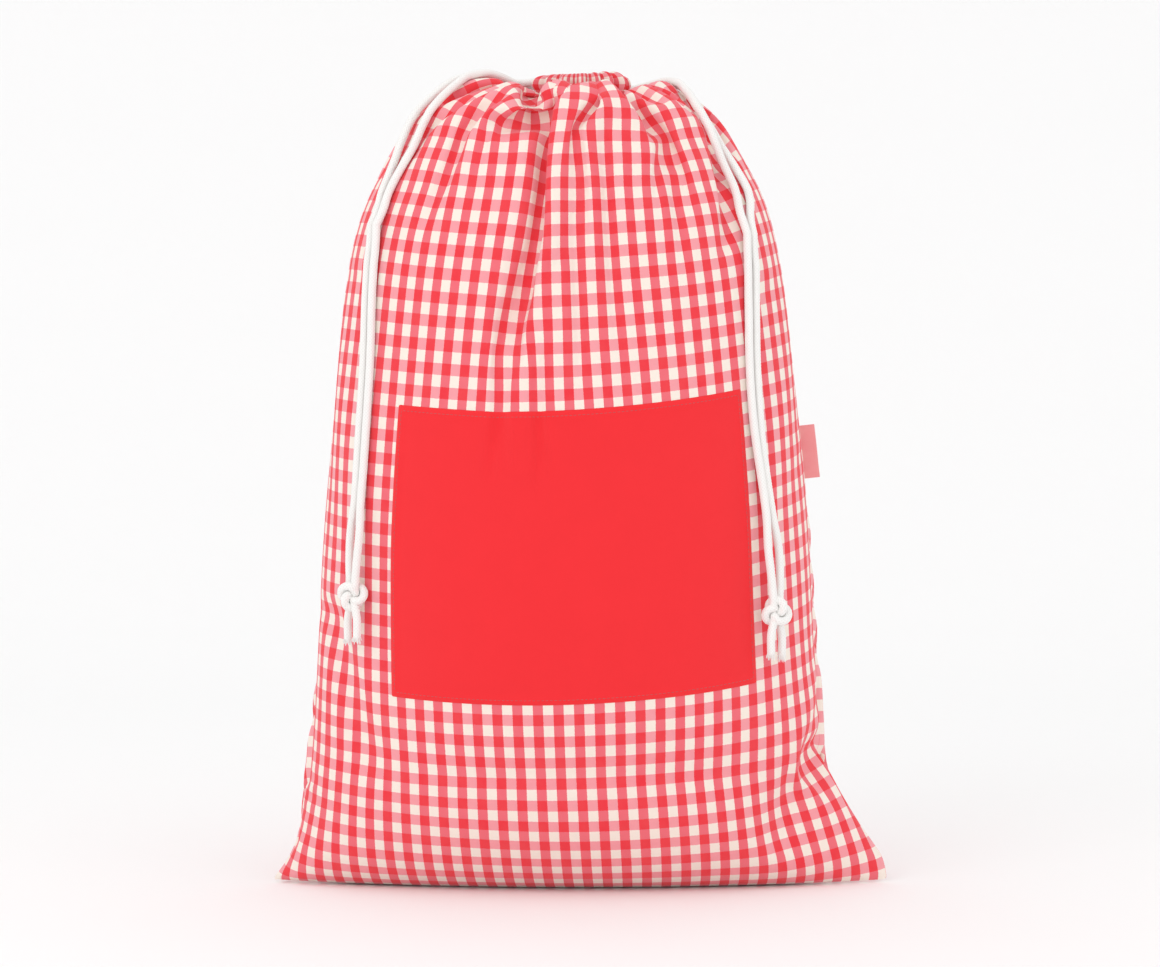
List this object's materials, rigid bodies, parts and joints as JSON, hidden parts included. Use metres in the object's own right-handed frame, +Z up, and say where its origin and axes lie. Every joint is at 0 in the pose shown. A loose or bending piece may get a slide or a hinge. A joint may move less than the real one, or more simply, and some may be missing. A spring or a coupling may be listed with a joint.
{
  "type": "drawstring gift sack",
  "caption": "Filled checked cotton sack standing with its mouth drawn closed, knotted cords at each side, plain name panel and side label.",
  "frame": {"origin": "on the floor, in the seam plane, midway between the tips of the two bottom ears", "axes": "-Y towards the front with the name panel, +X to the viewer's right, +Z up"},
  "size_m": [0.5, 0.2424, 0.653],
  "materials": {
    "checked_cotton": "woven red and cream check, matte",
    "plain_red_cotton": "plain weave, matte",
    "red_thread": "twisted thread, slight sheen",
    "overlock_thread": "looped thread, matte",
    "ribbon": "satin ribbon, soft sheen",
    "cotton_cord": "braided cotton, matte"
  },
  "bodies": {
    "sack": {"front_panel": "checked_cotton", "back_panel": "checked_cotton", "name_panel": "plain_red_cotton", "name_panel_stitching": "red_thread", "left_seam_overlock": "overlock_thread", "right_seam_overlock": "overlock_thread", "bottom_seam_overlock": "overlock_thread", "left_cord_shoulder_strands": "cotton_cord", "right_cord_shoulder_strands": "cotton_cord"},
    "front_mouth": {"front_hem": "checked_cotton", "front_hem_stitching": "red_thread", "left_cord_front_run": "cotton_cord", "right_cord_front_run": "cotton_cord"},
    "back_mouth": {"back_hem": "checked_cotton", "back_hem_stitching": "red_thread", "left_cord_back_run": "cotton_cord", "right_cord_back_run": "cotton_cord"},
    "left_cord_strands": {"left_cord_hanging_strands": "cotton_cord"},
    "left_cord_end": {"left_cord_knot": "cotton_cord", "left_cord_tails": "cotton_cord"},
    "right_cord_strands": {"right_cord_hanging_strands": "cotton_cord"},
    "right_cord_end": {"right_cord_knot": "cotton_cord", "right_cord_tails": "cotton_cord"},
    "label": {"side_label": "ribbon"}
  },
  "joints": [
    {"name": "front_mouth_open", "type": "slide", "parent": "sack", "child": "front_mouth", "axis": [0, -1, 0], "range_m": [0, 0.035]},
    {"name": "back_mouth_open", "type": "slide", "parent": "sack", "child": "back_mouth", "axis": [0, 1, 0], "range_m": [0, 0.035]},
    {"name": "left_cord_swing_out", "type": "hinge", "parent": "sack", "child": "left_cord_strands", "pos_m": [-0.163, -0.062, 0.53], "axis": [-0.5986, 0.8011, 0], "range_deg": [0, 70]},
    {"name": "left_cord_pull", "type": "slide", "parent": "left_cord_strands", "child": "left_cord_end", "axis": [0, 0, 1], "range_m": [0, 0.0455], "deforming": ["left_cord_hanging_strands"]},
    {"name": "right_cord_swing_out", "type": "hinge", "parent": "sack", "child": "right_cord_strands", "pos_m": [0.134, -0.072, 0.522], "axis": [-0.6828, -0.7306, 0], "range_deg": [0, 70]},
    {"name": "right_cord_pull", "type": "slide", "parent": "right_cord_strands", "child": "right_cord_end", "axis": [0, 0, 1], "range_m": [0, 0.0455], "deforming": ["right_cord_hanging_strands"]},
    {"name": "label_flap", "type": "hinge", "parent": "sack", "child": "label", "pos_m": [0.18241, 0, 0.328], "axis": [-0.1087, 0, 0.9941], "range_deg": [-75, 75]}
  ],
  "couplings": [
    {"joint": "back_mouth_open", "follows": "front_mouth_open", "ratio": 1},
    {"joint": "left_cord_pull", "follows": "front_mouth_open", "ratio": 1.3},
    {"joint": "right_cord_pull", "follows": "front_mouth_open", "ratio": 1.3}
  ]
}
